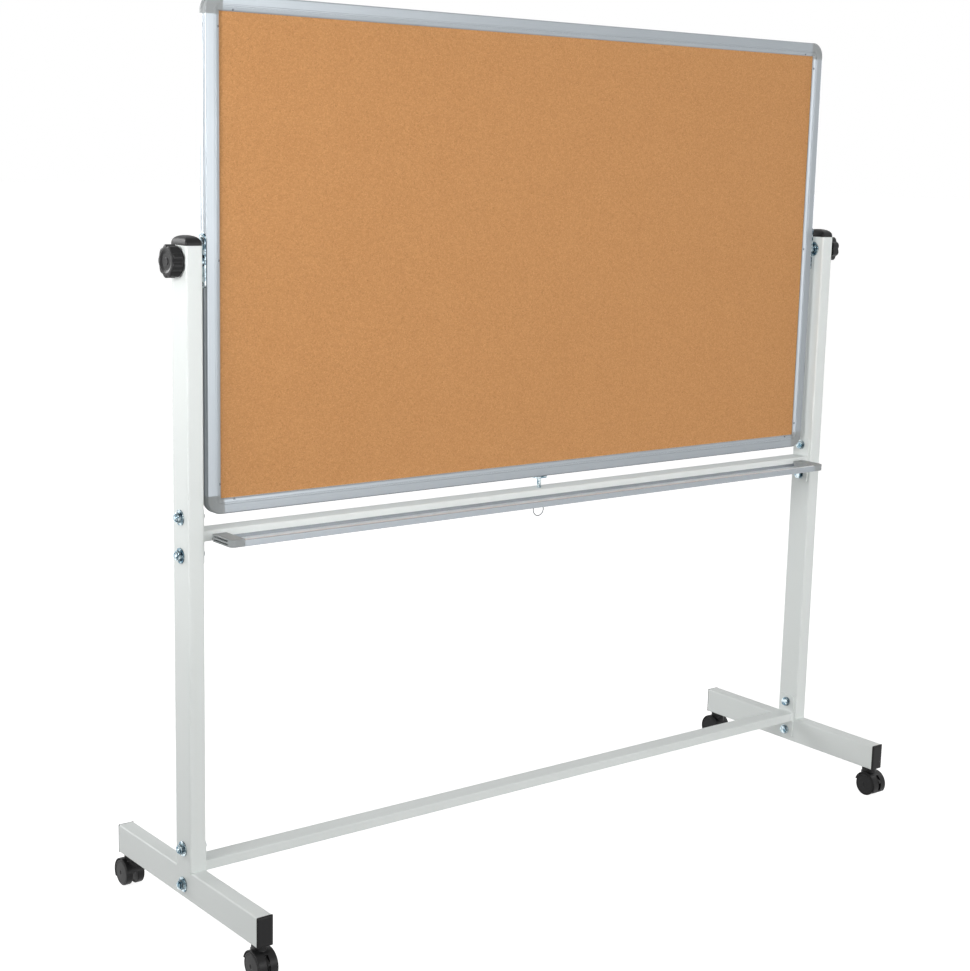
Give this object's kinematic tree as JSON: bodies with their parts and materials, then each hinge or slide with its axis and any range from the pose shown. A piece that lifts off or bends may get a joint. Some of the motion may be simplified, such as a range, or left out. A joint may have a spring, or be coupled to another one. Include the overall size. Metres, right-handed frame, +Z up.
{
  "type": "reversible cork and writing board on a mobile stand",
  "caption": "Framed board, cork on one face and white enamel on the other, turning over between two posts on a wheeled stand with a pen tray.",
  "frame": {"origin": "on the floor under the middle of the board, midway between the posts and between the front and rear casters", "axes": "+X along the board to the right as seen from the cork side, +Y from the cork side to the white side, +Z up"},
  "size_m": [1.668, 0.547, 1.654],
  "materials": {
    "powder_coat": "smooth off-white powder coat on steel tube",
    "zinc_steel": "bright bluish zinc plate",
    "anodised_aluminium": "satin anodised extrusion",
    "grey_plastic": "satin moulded grey plastic",
    "black_plastic": "satin moulded black plastic",
    "black_nylon": "moulded black nylon",
    "wheel_nylon": "moulded black nylon, worn smooth at the tread",
    "cork": "fine natural cork granules",
    "board_core": "plain fibre core",
    "white_enamel": "gloss white writing enamel on steel sheet",
    "spring_wire": "drawn steel wire"
  },
  "bodies": {
    "stand": {"front_left_caster_stem": "zinc_steel", "front_left_foot_plug": "black_plastic", "front_right_caster_stem": "zinc_steel", "front_right_foot_plug": "black_plastic", "latch_spring": "spring_wire", "left_foot": "powder_coat", "left_lower_bar_high_bolt": "zinc_steel", "left_lower_bar_low_bolt": "zinc_steel", "left_post": "powder_coat", "left_post_cap": "black_plastic", "left_tray_cap": "grey_plastic", "left_upper_bar_high_bolt": "zinc_steel", "left_upper_bar_low_bolt": "zinc_steel", "left_upper_bar_plate": "powder_coat", "lower_crossbar": "powder_coat", "pen_tray": "anodised_aluminium", "rear_left_caster_stem": "zinc_steel", "rear_left_foot_plug": "black_plastic", "rear_right_caster_stem": "zinc_steel", "rear_right_foot_plug": "black_plastic", "right_foot": "powder_coat", "right_lower_bar_high_bolt": "zinc_steel", "right_lower_bar_low_bolt": "zinc_steel", "right_post": "powder_coat", "right_post_cap": "black_plastic", "right_tray_cap": "grey_plastic", "right_upper_bar_high_bolt": "zinc_steel", "right_upper_bar_low_bolt": "zinc_steel", "right_upper_bar_plate": "powder_coat", "upper_crossbar": "powder_coat"},
    "board": {"cork_sheet": "cork", "board_core": "board_core", "whiteboard_sheet": "white_enamel", "top_rail": "anodised_aluminium", "bottom_rail": "anodised_aluminium", "left_rail": "anodised_aluminium", "right_rail": "anodised_aluminium", "catch_plate": "zinc_steel", "top_left_corner": "grey_plastic", "top_right_corner": "grey_plastic", "bottom_left_corner": "grey_plastic", "bottom_right_corner": "grey_plastic", "left_pivot_plate": "zinc_steel", "left_pivot_bolt": "zinc_steel", "right_pivot_plate": "zinc_steel", "right_pivot_bolt": "zinc_steel"},
    "knob_left": {"left_knob": "black_plastic"},
    "knob_right": {"right_knob": "black_plastic"},
    "lock_pin": {"latch_pin": "zinc_steel"},
    "lock_ring": {"latch_ring": "spring_wire"},
    "caster_front_left": {"front_left_caster_hood": "black_nylon"},
    "wheels_front_left": {"front_left_caster_wheels": "wheel_nylon"},
    "brake_left": {"front_left_caster_brake": "black_nylon"},
    "caster_front_right": {"front_right_caster_hood": "black_nylon"},
    "wheels_front_right": {"front_right_caster_wheels": "wheel_nylon"},
    "brake_right": {"front_right_caster_brake": "black_nylon"},
    "caster_rear_left": {"rear_left_caster_hood": "black_nylon"},
    "wheels_rear_left": {"rear_left_caster_wheels": "wheel_nylon"},
    "caster_rear_right": {"rear_right_caster_hood": "black_nylon"},
    "wheels_rear_right": {"rear_right_caster_wheels": "wheel_nylon"}
  },
  "joints": [
    {"name": "board_flip", "type": "hinge", "parent": "stand", "child": "board", "pos_m": [0, 0, 1.2095], "axis": [1, 0, 0], "continuous": true},
    {"name": "knob_left", "type": "hinge", "parent": "board", "child": "knob_left", "pos_m": [-0.82, 0, 1.2095], "axis": [-1, 0, 0], "range_deg": [0, 360]},
    {"name": "knob_right", "type": "hinge", "parent": "board", "child": "knob_right", "pos_m": [0.82, 0, 1.2095], "axis": [1, 0, 0], "range_deg": [0, 360]},
    {"name": "lock_pull", "type": "slide", "parent": "stand", "child": "lock_pin", "axis": [0, 0, 1], "range_m": [-0.008, 0], "stiffness_N_per_m": 400, "springref_m": 0.012, "deforming": ["latch_spring"]},
    {"name": "lock_ring_swing", "type": "hinge", "parent": "lock_pin", "child": "lock_ring", "pos_m": [0, 0, 0.7091], "axis": [1, 0, 0], "range_deg": [-60, 60]},
    {"name": "swivel_front_left", "type": "hinge", "parent": "stand", "child": "caster_front_left", "pos_m": [-0.794, -0.233, 0.06], "axis": [0, 0, 1], "continuous": true},
    {"name": "roll_front_left", "type": "hinge", "parent": "caster_front_left", "child": "wheels_front_left", "pos_m": [-0.794, -0.245, 0.025], "axis": [1, 0, 0], "continuous": true},
    {"name": "brake_left", "type": "hinge", "parent": "caster_front_left", "child": "brake_left", "pos_m": [-0.794, -0.257, 0.042], "axis": [1, 0, 0], "range_deg": [0, 12]},
    {"name": "swivel_front_right", "type": "hinge", "parent": "stand", "child": "caster_front_right", "pos_m": [0.794, -0.233, 0.06], "axis": [0, 0, 1], "continuous": true},
    {"name": "roll_front_right", "type": "hinge", "parent": "caster_front_right", "child": "wheels_front_right", "pos_m": [0.794, -0.245, 0.025], "axis": [1, 0, 0], "continuous": true},
    {"name": "brake_right", "type": "hinge", "parent": "caster_front_right", "child": "brake_right", "pos_m": [0.794, -0.257, 0.042], "axis": [1, 0, 0], "range_deg": [0, 12]},
    {"name": "swivel_rear_left", "type": "hinge", "parent": "stand", "child": "caster_rear_left", "pos_m": [-0.794, 0.233, 0.06], "axis": [0, 0, 1], "continuous": true},
    {"name": "roll_rear_left", "type": "hinge", "parent": "caster_rear_left", "child": "wheels_rear_left", "pos_m": [-0.794, 0.245, 0.025], "axis": [1, 0, 0], "continuous": true},
    {"name": "swivel_rear_right", "type": "hinge", "parent": "stand", "child": "caster_rear_right", "pos_m": [0.794, 0.233, 0.06], "axis": [0, 0, 1], "continuous": true},
    {"name": "roll_rear_right", "type": "hinge", "parent": "caster_rear_right", "child": "wheels_rear_right", "pos_m": [0.794, 0.245, 0.025], "axis": [1, 0, 0], "continuous": true}
  ]
}
